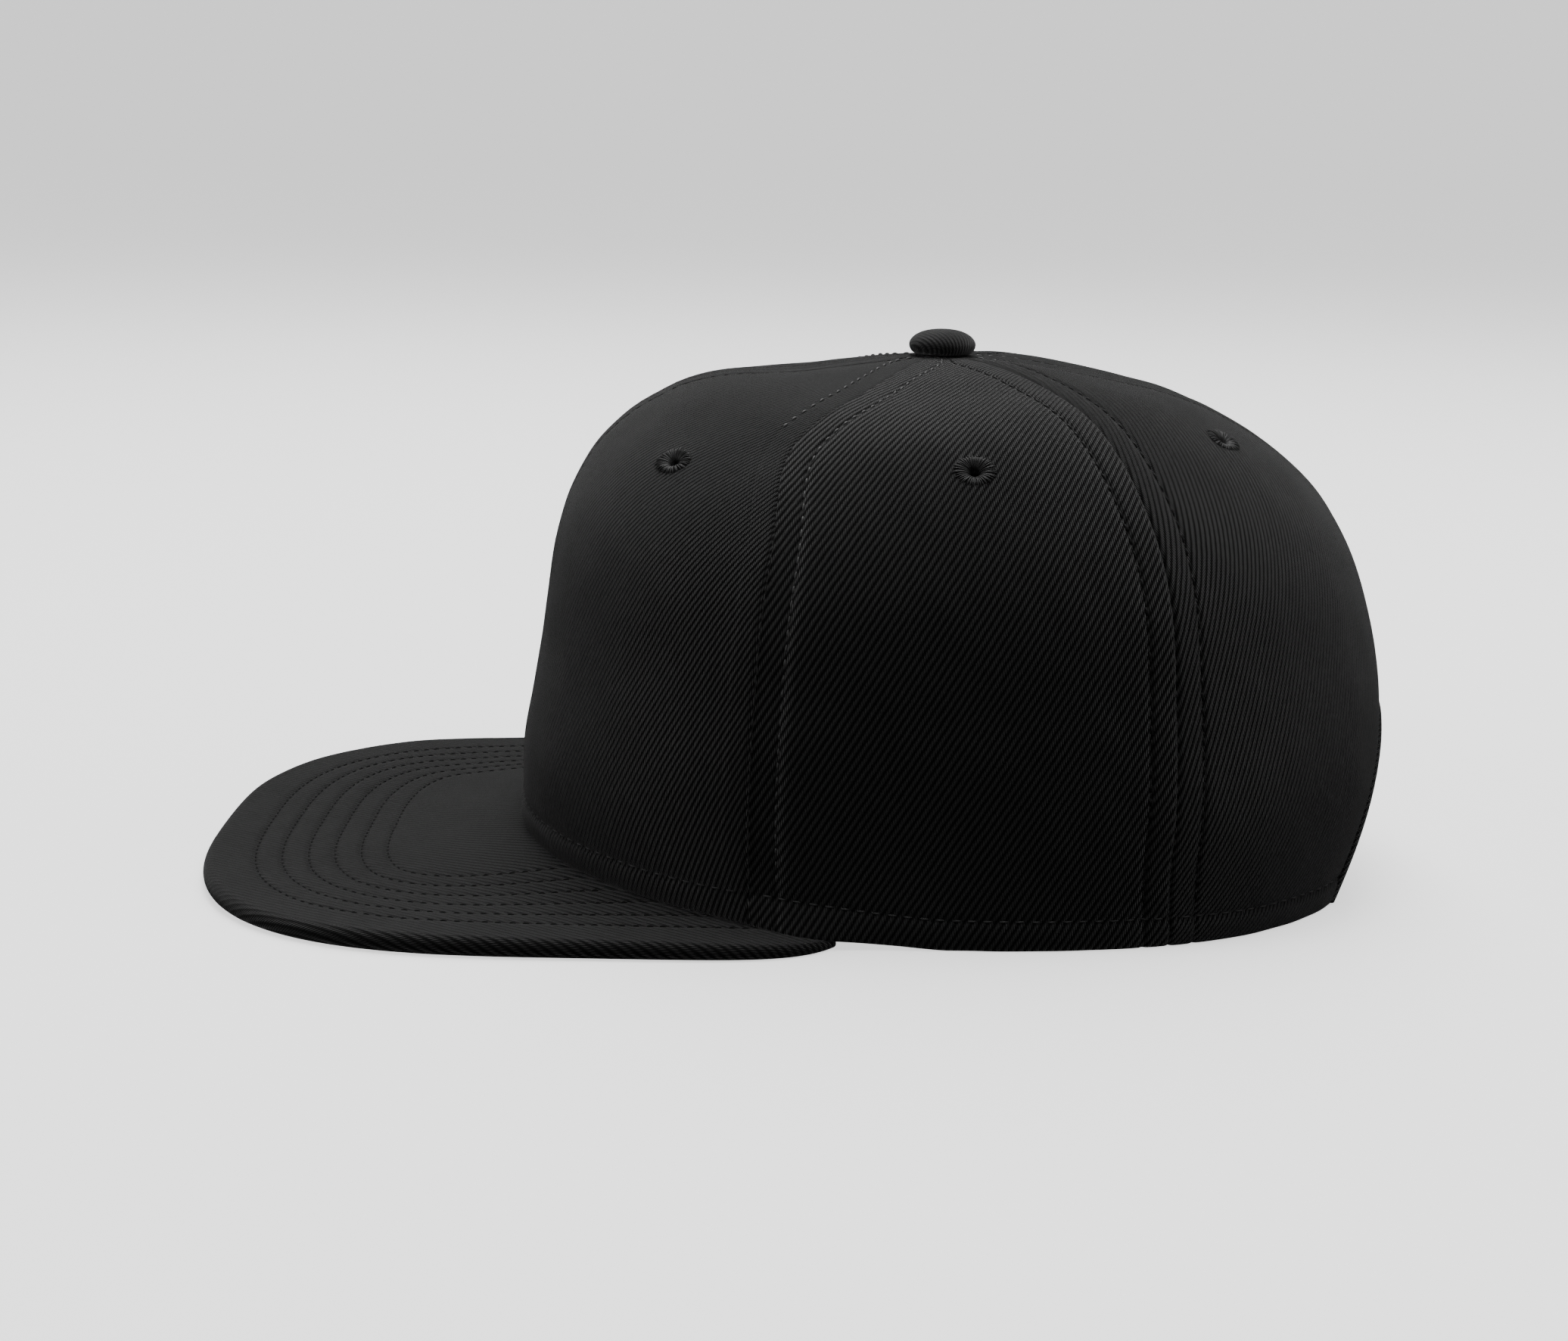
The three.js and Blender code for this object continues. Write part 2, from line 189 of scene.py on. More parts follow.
def path_length(from_angle, from_rise, angle, rise, steps=24):
    """Length on the surface between two places, along a line of even steps in angle and rise."""
    total = 0
    last = outer_point(from_angle, from_rise)
    for step in range(1, steps + 1):
        share = step / steps
        there = from_angle + (angle - from_angle) * share
        point = outer_point(there, from_rise + (rise - from_rise) * share)
        total = total + np.linalg.norm(point - last, axis=-1)
        last = point
    return total


def length_per_degree(angle, rise):
    step = 0.25
    across = outer_point(angle + step, rise) - outer_point(angle - step, rise)
    return np.linalg.norm(across, axis=-1) / (2 * step)


def soft_noise(points, size, seed):
    """A smooth field between about -1 and 1 whose bumps are about size across."""
    random = np.random.default_rng(seed)
    total = np.zeros(points.shape[:-1])
    waves = 9
    for _ in range(waves):
        direction = random.normal(size=3)
        direction *= 2 * math.pi / (size * np.linalg.norm(direction)) * random.uniform(0.6, 1.5)
        total += np.sin(points @ direction + random.uniform(0, 2 * math.pi))
    return total / math.sqrt(waves)


def smooth_step(value, low, high):
    t = np.clip((value - low) / (high - low), 0, 1)
    return t * t * (3 - 2 * t)


def bump_at(value, place, spread):
    """A smooth bump, 1 at its place."""
    return np.exp(-(((value - place) / spread) ** 2))


def turned_edge(distance, width):
    """How far a cloth edge that turns in has rounded off, from 0 at this width to nearly 1 at the edge."""
    turned = np.clip(1 - distance / width, 0, 1)
    return 1 - np.sqrt(1 - 0.98 * turned**2)


# The cloth's relief: how far it stands out from the plain crown

# At each seam of a panel: depth of the turned edge, puff up to the stitches, groove under the stitches,
# and how far the cloth is pressed in between the seam and the stitches
SEAM_RELIEF = {
    ("front", "front_centre"): (0.45, 0.10, 0.40, 0.0),
    ("front", "front"): (0.90, 0.0, 0.10, -0.20),
    ("side", "front"): (0.10, 0.0, 0.34, 1.0),
    ("side", "rear"): (0.85, 0.12, 0.42, 0.1),
    ("rear", "rear"): (0.95, 0.14, 0.40, 0.1),
    ("rear", "rear_centre"): (0.50, 0.25, 0.45, 0.0),
}
# Widths of the turned edge and the groove, and the distances from the seam over which the pressing ends
SEAM_WIDTHS = dict(edge=1.1, groove=0.55, pressed=(5.0, 9.0))
# Heights above the hem between which the turned edge and the pressing fade
EDGE_FADE = dict(share=0.65, heights=(92, 116))
PRESSED_FADE = dict(rising=(4, 14), falling=(70, 110))

# The rolled hem band, and its bulge over the peak's end
HEM_ROLL = dict(height=0.5, groove=0.35, groove_width=0.7, edge=0.5, edge_width=0.9)
HEM_BULGE = dict(angle=69.0, spread=8.0, height=3.4)

# The stiffened front is squarer where it turns over to the top
CORNER = dict(height=1.5, angle_spread=34, rise=51, rise_spread=6.5)

# Height, size and seed of the cloth's gentle unevenness
CLOTH_WAVES = [(0.2, 55, 3), (0.10, 17, 5)]


def seam_relief(panel, seam, distance, above_hem):
    """Relief beside a seam, by distance from it and height above the hem."""
    edge, puff, groove, pressed = SEAM_RELIEF[panel, seam]
    edge = edge * (1 - EDGE_FADE["share"] * smooth_step(above_hem, *EDGE_FADE["heights"]))
    pressed = pressed * smooth_step(above_hem, *PRESSED_FADE["rising"])
    pressed = pressed * (1 - smooth_step(above_hem, *PRESSED_FADE["falling"]))
    out = -edge * turned_edge(distance, SEAM_WIDTHS["edge"])
    out += puff * np.sin(math.pi * np.clip(distance / STITCH_FROM_SEAM, 0, 1))
    out -= groove * bump_at(distance, STITCH_FROM_SEAM, SEAM_WIDTHS["groove"])
    out -= pressed * (1 - smooth_step(distance, *SEAM_WIDTHS["pressed"]))
    return out


def hem_relief(angle, above_hem):
    """The rolled band along the hem, with the groove above it."""
    share = np.clip(above_hem / HEM_BAND, 0, 1)
    out = HEM_ROLL["height"] * np.sin(math.pi * share) ** 0.7
    near_peak_end = bump_at(angle, HEM_BULGE["angle"], HEM_BULGE["spread"])
    out += HEM_BULGE["height"] * near_peak_end * (1 - share) ** 1.2
    out -= HEM_ROLL["groove"] * bump_at(above_hem, HEM_BAND, HEM_ROLL["groove_width"])
    return out - HEM_ROLL["edge"] * turned_edge(above_hem, HEM_ROLL["edge_width"])


def corner_relief(angle, rise):
    ahead = bump_at(angle, 0, CORNER["angle_spread"])
    return CORNER["height"] * ahead * bump_at(rise, CORNER["rise"], CORNER["rise_spread"])


def cloth_point(panel, angle, rise):
    """Outer face of a panel of the wearer's left, with its relief, and the outward normal."""
    plain = outer_point(angle, rise)
    normal = outward_normal(angle, rise)
    per_degree = length_per_degree(angle, rise)
    above_hem = (plain[..., 2] - hem_height(angle)) * 1.02
    out = corner_relief(angle, rise)
    for height, size, seed in CLOTH_WAVES:
        out = out + height * soft_noise(plain, size, seed)
    near_top = np.clip(per_degree / 0.3, 0, 1)
    first, last = PANEL_SEAMS[panel]
    width = (seam_angle(last, rise) - seam_angle(first, rise)) * per_degree
    for seam in PANEL_SEAMS[panel]:
        distance = np.abs(angle - seam_angle(seam, rise)) * per_degree
        distance = distance / np.clip(width / NARROW_PANEL, 0.1, 1)
        out = out + near_top * seam_relief(panel, seam, distance, above_hem)
    out = out + hem_relief(angle, above_hem)
    return plain + normal * out[..., None], normal


# Mesh building

def make_object(name, points, faces, uv=None):
    """A smooth mesh object from points in millimetres about the crown's middle."""
    mesh = bpy.data.meshes.new(name)
    verts = (points.reshape(-1, 3) + [0, CROWN_Y, 0]) * 0.001
    mesh.from_pydata(verts.tolist(), [], faces)
    if uv is not None:
        layer = mesh.uv_layers.new(name="grain")
        loops = np.empty(len(mesh.loops), dtype=np.int64)
        mesh.loops.foreach_get("vertex_index", loops)
        layer.data.foreach_set("uv", (uv.reshape(-1, 2)[loops] * 0.001).ravel())
    mesh.polygons.foreach_set("use_smooth", [True] * len(mesh.polygons))
    mesh.update()
    item = bpy.data.objects.new(name, mesh)
    bpy.context.collection.objects.link(item)
    return item


def grid_faces(rows, columns, start=0, flip=False, wrap=False):
    """Quads between the points of a grid, which wrap closes sideways."""
    row = np.arange(rows - 1)[:, None]
    column = np.arange(columns if wrap else columns - 1)[None, :]
    following = (column + 1) % columns
    a = row * columns + column
    b = row * columns + following
    quads = np.stack([a, b, b + columns, a + columns], axis=-1).reshape(-1, 4) + start
    return quads[:, ::-1] if flip else quads


def rim_faces(rows, columns, flip=False):
    """Quads round the rim of two grids that lie face to face."""
    at = np.arange(rows * columns).reshape(rows, columns)
    loop = np.concatenate([at[0, :-1], at[:-1, -1], at[-1, :0:-1], at[:0:-1, 0]])
    following = np.roll(loop, -1)
    count = rows * columns
    quads = np.stack([loop, loop + count, following + count, following], axis=-1)
    return quads[:, ::-1] if flip else quads


def sheet_mesh(name, outer, inner, outer_uv, inner_uv, mirror=False, keep=None):
    """A cloth wall from two grids. The mirrored one is the wearer's right."""
    rows, columns = outer.shape[:2]
    points = np.concatenate([outer.reshape(-1, 3), inner.reshape(-1, 3)])
    uv = np.concatenate([outer_uv.reshape(-1, 2), inner_uv.reshape(-1, 2)])
    if mirror:
        points = points * [-1, 1, 1]
        uv = uv * [-1, 1]
    outside = grid_faces(rows, columns, flip=mirror)
    inside = grid_faces(rows, columns, start=rows * columns, flip=not mirror)
    rim = rim_faces(rows, columns, flip=mirror)
    faces = np.concatenate([outside, inside, rim])
    if keep is not None:
        both = np.concatenate([keep.ravel(), keep.ravel()])
        faces = faces[both[faces].all(axis=1)]
    return make_object(name, points, faces.tolist(), uv)


def tube_mesh(name, sections, uv=None, closed=False):
    """A closed outline swept through a list of places, with flat ends unless the sweep closes too."""
    places, size = sections.shape[:2]
    faces = grid_faces(places, size, wrap=True).tolist()
    if closed:
        last = (places - 1) * size
        faces += [[last + i, last + (i + 1) % size, (i + 1) % size, i] for i in range(size)]
    else:
        faces += [list(range(size))[::-1], [(places - 1) * size + i for i in range(size)]]
    return make_object(name, sections, faces, uv)


def add_piece(item, material, slot, *nodes):
    item.data.materials.append(material)
    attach(item, "root")
    if nodes:
        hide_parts(*nodes)


# Materials

class Nodes:
    """Short names for wiring a material."""

    def __init__(self, name):
        self.material = bpy.data.materials.new(name)
        self.material.use_nodes = True
        self.tree = self.material.node_tree
        self.shader = self.tree.nodes["Principled BSDF"]

    def link(self, source, socket):
        self.tree.links.new(source, socket)

    def math(self, operation, *values):
        node = self.tree.nodes.new("ShaderNodeMath")
        node.operation = operation
        for socket, value in zip(node.inputs, values):
            if isinstance(value, (int, float)):
                socket.default_value = value
            else:
                self.link(value, socket)
        return node.outputs[0]

    def noise(self, vector, scale, detail=2.0, roughness=0.5):
        node = self.tree.nodes.new("ShaderNodeTexNoise")
        node.inputs["Scale"].default_value = scale
        node.inputs["Detail"].default_value = detail
        node.inputs["Roughness"].default_value = roughness
        self.link(vector, node.inputs["Vector"])
        return node.outputs["Fac"]

    def grain(self):
        node = self.tree.nodes.new("ShaderNodeUVMap")
        node.uv_map = "grain"
        return node.outputs["UV"]

    def split(self, vector):
        node = self.tree.nodes.new("ShaderNodeSeparateXYZ")
        self.link(vector, node.inputs[0])
        return node.outputs[0], node.outputs[1]

    def object_place(self):
        return self.tree.nodes.new("ShaderNodeTexCoord").outputs["Object"]

    def wave(self, length, period):
        """A smooth wave between 0 and 1 with a period in millimetres, from a length in metres."""
        angle = self.math("MULTIPLY", length, 2000 * math.pi / period)
        return self.math("MULTIPLY_ADD", self.math("COSINE", angle), 0.5, 0.5)

    def colour(self, share, dark, light):
        """A grey between two, by a share."""
        ramp = self.tree.nodes.new("ShaderNodeValToRGB")
        for element, grey in zip(ramp.color_ramp.elements, (dark, light)):
            element.color = (grey, grey, grey, 1)
        self.link(share, ramp.inputs["Fac"])
        self.link(ramp.outputs["Color"], self.shader.inputs["Base Color"])

    def bump(self, height, depth_mm):
        node = self.tree.nodes.new("ShaderNodeBump")
        node.inputs["Distance"].default_value = depth_mm * 0.001
        node.inputs["Strength"].default_value = 1.0
        self.link(height, node.inputs["Height"])
        self.link(node.outputs["Normal"], self.shader.inputs["Normal"])

    def surface(self, roughness, sheen=0.0, specular=0.3, sheen_roughness=0.5):
        inputs = self.shader.inputs
        inputs["Roughness"].default_value = roughness
        inputs["Specular IOR Level"].default_value = specular
        inputs["Sheen Weight"].default_value = sheen
        inputs["Sheen Roughness"].default_value = sheen_roughness


# Millimetres between yarns, along and across the cloth
WARP_PITCH = 0.44
WEFT_PITCH = 0.71


def twill(name, depth, dark, light, sheen, lint_share=0.5):
    """Twill cloth: each warp yarn floats over three weft yarns, one weft higher than its neighbour."""
    n = Nodes(name)
    u, v = n.split(n.grain())
    place = n.object_place()
    yarn = n.math("MULTIPLY", u, 1000 / WARP_PITCH)
    weft = n.math("MULTIPLY", v, 1000 / WEFT_PITCH)
    uneven = n.noise(place, 420, 2)
    yarn = n.math("MULTIPLY_ADD", uneven, 0.7, yarn)
    number = n.math("FLOOR", yarn)
    across = n.math("FRACT", yarn)
    turn = n.math("MULTIPLY", n.math("SUBTRACT", weft, number), math.pi / 2)
    lift = n.math("MULTIPLY_ADD", n.math("COSINE", turn), 0.5, 0.5)
    rounding = n.math("SINE", n.math("MULTIPLY", across, math.pi))
    rope = n.math("MULTIPLY", lift, n.math("MULTIPLY_ADD", rounding, 0.8, 0.2))
    fuzz = n.noise(place, 2600, 3, 0.65)
    n.bump(n.math("MULTIPLY_ADD", fuzz, 0.35, rope), depth)
    patch = n.noise(place, 34, 3, 0.6)
    lint = n.noise(place, 1700, 3, 0.75)
    # The colour is lighter on the yarns' tops and darker between them, painted shade in the weave's
    # hollows, with random patches and lint
    tone_and_painted_shade = n.math("MULTIPLY_ADD", patch, 0.4, n.math("MULTIPLY_ADD", rope, 1.15, -0.32))
    tone_and_painted_shade = n.math("MULTIPLY_ADD", lint, lint_share, n.math("SUBTRACT", tone_and_painted_shade, lint_share / 2))
    n.colour(tone_and_painted_shade, dark, light)
    n.surface(0.95, sheen=sheen, specular=0.12, sheen_roughness=0.4)
    return n.material


def thread(name, dark, light, gloss):
    """Sewing thread, its strands laid side by side."""
    n = Nodes(name)
    place = n.object_place()
    strands = n.noise(place, 3500, 2, 0.6)
    n.colour(strands, dark, light)
    n.bump(strands, 0.05)
    n.surface(0.5, sheen=0.1 * gloss, specular=gloss)
    return n.material


def ribbon(name):
    """The sweatband's fine woven ribs."""
    n = Nodes(name)
    u, v = n.split(n.grain())
    place = n.object_place()
    ribs = n.wave(v, 0.9)
    picks = n.wave(u, 0.7)
    height = n.math("MULTIPLY_ADD", picks, 0.35, ribs)
    n.bump(height, 0.12)
    # The colour is darker between the ribs, painted shade in the grooves, with random patches
    tone_and_painted_shade = n.math("MULTIPLY_ADD", n.noise(place, 60, 3), 0.6, n.math("MULTIPLY", ribs, 0.3))
    n.colour(tone_and_painted_shade, 0.004, 0.013)
    n.surface(0.85, sheen=0.12, specular=0.25)
    return n.material


def moulded_plastic(name):
    """The strap's plastic, with a faint grain."""
    n = Nodes(name)
    place = n.object_place()
    grain = n.noise(place, 900, 3, 0.6)
    n.bump(grain, 0.03)
    n.colour(n.noise(place, 40, 2), 0.006, 0.011)
    n.surface(0.42, specular=0.5)
    return n.material


CROWN_CLOTH = twill("crown_twill", depth=0.45, dark=0.0004, light=0.032, sheen=0.18)
PEAK_CLOTH = twill("peak_twill", depth=0.28, dark=0.0015, light=0.023, sheen=0.17, lint_share=0.8)
BUTTON_CLOTH = twill("button_twill", depth=0.20, dark=0.0060, light=0.037, sheen=0.24)
THREAD = thread("black_thread", dark=0.006, light=0.040, gloss=0.5)
SHADED_THREAD = thread("shaded_thread", dark=0.0010, light=0.0070, gloss=0.15)
# The black thread made darker, painted shade for stitches sunk in the peak's holes and for the eyelets'
# ring down in its hole
THREAD_IN_PAINTED_SHADE = thread("thread_in_painted_shade", dark=0.0010, light=0.0050, gloss=0.12)
EYELET_THREAD = thread("eyelet_thread", dark=0.001, light=0.013, gloss=0.35)
RIBBON = ribbon("sweatband_ribbon")
PLASTIC = moulded_plastic("strap_plastic")


# Crown panels

# Distances in millimetres from each seam and from the hem where the grid is kept fine
EDGE_STEPS = [0, 0.2, 0.45, 0.75, 1.1, 1.8, 2.8, 3.8, 4.7, 5.4, 5.9, 6.4, 6.9, 7.4, 8.2, 9.4]
HEM_STEPS = [0, 0.3, 0.7, 1.1, 1.6, 2.4, 3.4, 4.4, 5.4, 6.1, 6.7, 7.2, 7.7, 8.3, 9.2, 10.5]
MIDDLE_COLUMNS = 56
UPPER_ROWS = 104
# Neighbouring panels overlap a little, so that no light shows between them
SEAM_OVERLAP = 0.05
# Radius of the hole in the cloth under an eyelet, and how far the cloth is cut back round the arch
EYELET_CUT = 2.7
ARCH_CUT = 1.2


def rise_at_reach(reach):
    """Rise of the place near the crown's top that is this far from its middle."""
    return 90 - math.degrees(math.atan2(reach, CROWN["height"]))


TOP_RISE = rise_at_reach(CROWN["top_hole"])

# The stiffened front and the rear show their yarns closer together than the sides do
GRAIN_STRETCH = {"front": 1.3, "side": 1.0, "rear": 1.35}


def row_rises(angle):
    """Rises of the grid rows, from rows that follow the hem to level rows at the top."""
    hem_rows = [rise_at_height(line, hem_height(line) + step) for line, step in zip(angle, HEM_STEPS)]
    upper = angle[len(HEM_STEPS):]
    share = np.linspace(0, 1, len(upper) + 1)[1:, None]
    start = rise_at_height(upper, hem_height(upper) + HEM_STEPS[-1])
    return np.concatenate([np.stack(hem_rows), start * (1 - share) + TOP_RISE * share])


def seam_line(name):
    """Angle of a seam at each row of the grid."""
    rows = len(HEM_STEPS) + UPPER_ROWS
    rise = row_rises(np.full((rows, 1), float(seam_angle(name, 0))))
    return seam_angle(name, rise)


def narrow_steps(steps, width):
    """Near the top the stitches draw closer to the seam, and the cloth past them closer still."""
    up_to_stitches = np.minimum(steps, STITCH_FROM_SEAM) * np.minimum(1, width / NARROW_PANEL)
    past_stitches = np.maximum(0, steps - STITCH_FROM_SEAM) * np.minimum(1, width / 27) ** 2
    return up_to_stitches + past_stitches


def panel_grid(panel):
    """Angle and rise of each point of a panel of the wearer's left."""
    start, end = (seam_line(seam) for seam in PANEL_SEAMS[panel])
    fine = start + (end - start) * np.linspace(0, 1, 97)
    points = outer_point(fine, row_rises(fine))
    steps = np.linalg.norm(np.diff(points, axis=1), axis=-1)
    run = np.concatenate([np.zeros((len(fine), 1)), np.cumsum(steps, axis=1)], axis=1)
    width = run[:, -1:]
    edge = narrow_steps(np.array(EDGE_STEPS), width)
    left = edge - SEAM_OVERLAP
    right = width + SEAM_OVERLAP - edge[:, ::-1]
    share = np.linspace(0, 1, MIDDLE_COLUMNS + 2)[1:-1]
    middle = left[:, -1:] + (right[:, :1] - left[:, -1:]) * share
    across = np.concatenate([left, middle, right], axis=1)
    slope = (fine[:, -1:] - fine[:, :1]) / width
    angle = np.stack([np.interp(line, lengths, angles) for line, lengths, angles in zip(across, run, fine)])
    angle = angle + slope * (np.minimum(across, 0) + np.maximum(across - width, 0))
    return angle, row_rises(angle)


def grain_uv(panel, angle, rise):
    """Lengths along the cloth in millimetres: u to the right of the panel's middle, v up from the rim."""
    first, last = PANEL_SEAMS[panel]
    centre = (seam_angle(first, 20.0) + seam_angle(last, 20.0)) / 2
    rises = np.linspace(0, 89, 90)
    half = path_length(centre, rises, seam_angle(last, rises), rises)
    narrowing = np.clip(half[20] / np.maximum(half, 5), 1, 3)
    u = path_length(centre, rise, angle, rise) * np.sign(angle - centre)
    u = u * GRAIN_STRETCH[panel] * np.interp(rise, rises, narrowing) ** 0.3
    v = 0
    steps = 24
    for step in range(steps):
        low, high = rise * step / steps, rise * (step + 1) / steps
        closer = np.interp((low + high) / 2, rises, narrowing) ** 0.4
        v = v + path_length(angle, low, angle, high, 1) * closer
    return np.stack([u, v], axis=-1)


def in_arch(points, grow):
    across = np.abs(points[..., 0]) / (ARCH["half_width"] + grow)
    up = np.maximum(points[..., 2], 0) / (ARCH["height"] + grow)
    return (across ** ARCH["power"] + up ** ARCH["power"] < 1) & (points[..., 1] > 0)


def near_eyelet(points, panel, reach):
    _, across, rise = next(place for place in EYELETS if place[0] == panel)
    centre = outer_point(eyelet_angle(panel, across, rise), rise)
    return np.linalg.norm(points - centre, axis=-1) < reach


def make_panel(panel):
    angle, rise = panel_grid(panel)
    plain = outer_point(angle, rise)
    outer, normal = cloth_point(panel, angle, rise)
    inner = plain - normal * CLOTH
    uv = grain_uv(panel, angle, rise)
    keep = ~near_eyelet(plain, panel, EYELET_CUT)
    if panel == "rear":
        keep &= ~in_arch(plain, ARCH_CUT)
    for side, mirror in (("left", False), ("right", True)):
        item = sheet_mesh(f"cloth_{panel}_{side}", outer, inner, uv, uv * [-1, 1], mirror, keep)
        add_piece(item, CROWN_CLOTH, "crown_cloth", f"panel_{panel}_{side}")


for panel_name in PANEL_SEAMS:
    make_panel(panel_name)


# Stitches

SEAM_STITCH = dict(pitch=3.3, length=2.3, radius=0.28, sink=0.04)
HEM_STITCH = dict(pitch=3.6, length=2.5, radius=0.24, sink=0.1)
PEAK_STITCH = dict(pitch=3.1, length=1.9, radius=0.25, sink=0.10)
UNDER_PEAK_STITCH = dict(pitch=3.1, length=2.2, radius=0.17, sink=0.0)
SWEATBAND_STITCH = dict(pitch=3.4, length=2.6, radius=0.2, sink=0.1)

# The rows beside the seams end this far from the crown's middle, and start this far above the hem
ROW_END = 8.5
ROW_START = 9.5
FRONT_ROW_START = 108.0
ABOVE_ARCH = 4.5
ROW_POINTS = 260

# Low down, the side panel's row at the front seam is pulled in deeper, between these rises
LOW_PULL = dict(depth=0.2, low=30, high=60)

# Rows whose thread lies in the shade of its groove
SHADED_ROWS = [("front", "front_centre"), ("side", "rear"), ("rear", "rear")]


def threads(centre, up, radius):
    """Verts and faces of short round threads along centre lines of shape (count, places, 3)."""
    count, places = centre.shape[:2]
    forward = np.gradient(centre, axis=1)
    forward /= np.linalg.norm(forward, axis=-1, keepdims=True)
    sideways = np.cross(up, forward)
    sideways /= np.linalg.norm(sideways, axis=-1, keepdims=True)
    upright = np.cross(forward, sideways)
    share = np.linspace(0, 1, places)
    thick = radius * (0.35 + 0.65 * np.sqrt(np.sin(math.pi * share)))
    sides = 6
    around = np.linspace(0, 2 * math.pi, sides, endpoint=False)[:, None]
    ring = sideways[:, :, None] * np.cos(around) + upright[:, :, None] * np.sin(around)
    verts = (centre[:, :, None] + ring * thick[:, None, None]).reshape(-1, 3)
    one = grid_faces(places, sides, wrap=True)
    faces = (one[None] + (np.arange(count) * places * sides)[:, None, None]).reshape(-1, 4)
    return verts, faces


def stitch_row(points, normals, pitch, length, radius, sink):
    """A row of threads that dip into the cloth at both ends."""
    steps = np.linalg.norm(np.diff(points, axis=0), axis=1)
    run = np.concatenate([[0], np.cumsum(steps)])
    count = int(run[-1] // pitch)
    random = np.random.default_rng(count)
    starts = (run[-1] - count * pitch) / 2 + pitch * np.arange(count) + (pitch - length) / 2
    starts = starts + random.uniform(-0.15, 0.15, count)
    along = np.linspace(0, 1, 6)
    places = starts[:, None] + along * length
    centre = np.stack([np.interp(places, run, points[:, i]) for i in range(3)], axis=-1)
    up = np.stack([np.interp(places, run, normals[:, i]) for i in range(3)], axis=-1)
    up /= np.linalg.norm(up, axis=-1, keepdims=True)
    arch = np.sin(math.pi * along) ** 0.6
    centre = centre + up * ((radius - sink) * arch - 0.3 * (1 - arch))[:, None]
    return threads(centre, up, radius)


def join_rows(name, rows, material, slot):
    """One piece from many rows of threads."""
    verts = []
    faces = []
    offset = 0
    for row_verts, row_faces in rows:
        verts.append(row_verts)
        faces.append(row_faces + offset)
        offset += len(row_verts)
    item = make_object(name, np.concatenate(verts), np.concatenate(faces).tolist())
    add_piece(item, material, slot)


def mirrored(row):
    verts, faces = row
    return verts * [-1, 1, 1], faces[:, ::-1]


def row_start(panel, seam):
    """Rise at which the row beside a seam starts."""
    start = ROW_START
    if seam == "rear_centre":
        start = ARCH["height"] + ABOVE_ARCH
    if (panel, seam) == ("front", "front"):
        start = FRONT_ROW_START
    angle = seam_angle(seam, 0)
    return float(rise_at_height(angle, hem_height(angle) + start))


def seam_stitches(panel, seam):
    """The row of stitches beside a seam, on a panel of the wearer's left."""
    rise = np.linspace(row_start(panel, seam), rise_at_reach(ROW_END), ROW_POINTS)
    first, last = PANEL_SEAMS[panel]
    start = seam_angle(seam, rise)
    per_degree = length_per_degree(start, rise)
    width = (seam_angle(last, rise) - seam_angle(first, rise)) * per_degree
    towards = 1 if first == seam else -1
    angle = start + towards * narrow_steps(STITCH_FROM_SEAM, width) / per_degree
    points, normals = cloth_point(panel, angle, rise)
    if (panel, seam) == ("side", "front"):
        pulled_in = LOW_PULL["depth"] * (1 - smooth_step(rise, LOW_PULL["low"], LOW_PULL["high"]))
        points = points - normals * pulled_in[:, None]
    return stitch_row(points, normals, **SEAM_STITCH)


def hem_stitches(panel):
    """The row of stitches along the top of the hem band."""
    first, last = PANEL_SEAMS[panel]
    start = float(seam_angle(first, 0)) + 0.4
    end = float(seam_angle(last, 0)) - 0.4
    if panel == "rear":
        end = 180 - math.degrees(math.asin((ARCH["half_width"] + 4.0) / base_reach(156.0)))
    angle = np.linspace(start, end, ROW_POINTS)
    rise = rise_at_height(angle, hem_height(angle) + HEM_BAND)
    points, normals = cloth_point(panel, angle, rise)
    return stitch_row(points, normals, **HEM_STITCH)


def crown_stitches():
    bright = []
    shaded = []
    for panel, seam in SEAM_RELIEF:
        row = seam_stitches(panel, seam)
        kind = shaded if (panel, seam) in SHADED_ROWS else bright
        kind += [row, mirrored(row)]
    for panel in PANEL_SEAMS:
        row = hem_stitches(panel)
        bright += [row, mirrored(row)]
    join_rows("crown_stitches", bright, THREAD, "thread")
    join_rows("crown_stitches_shaded", shaded, SHADED_THREAD, "thread")


crown_stitches()


# Binding round the rear opening

def surface_under(across, height):
    """Angle and rise of the crown's rear where it has this distance from the middle and this height."""
    level = np.full(np.shape(across), 100.0)
    for _ in range(16):
        angle = 180 - np.degrees(np.arcsin(np.clip(across / level, -0.95, 0.95)))
        rise = np.degrees(np.arctan2(height, level))
        level = level_distance(angle, rise)
    return angle, rise


# Outline of the binding: distance from the arch's edge into the cloth, and height off it
BINDING_OUTLINE = [
    (4.2, -0.25), (3.9, 0.25), (3.0, 0.5), (1.8, 0.62), (0.8, 0.55), (0.1, 0.2), (-0.25, -0.5),
    (-0.25, -1.5), (0.1, -2.2), (0.8, -2.5), (1.8, -2.55), (3.0, -2.45), (3.9, -2.2), (4.2, -1.8),
]


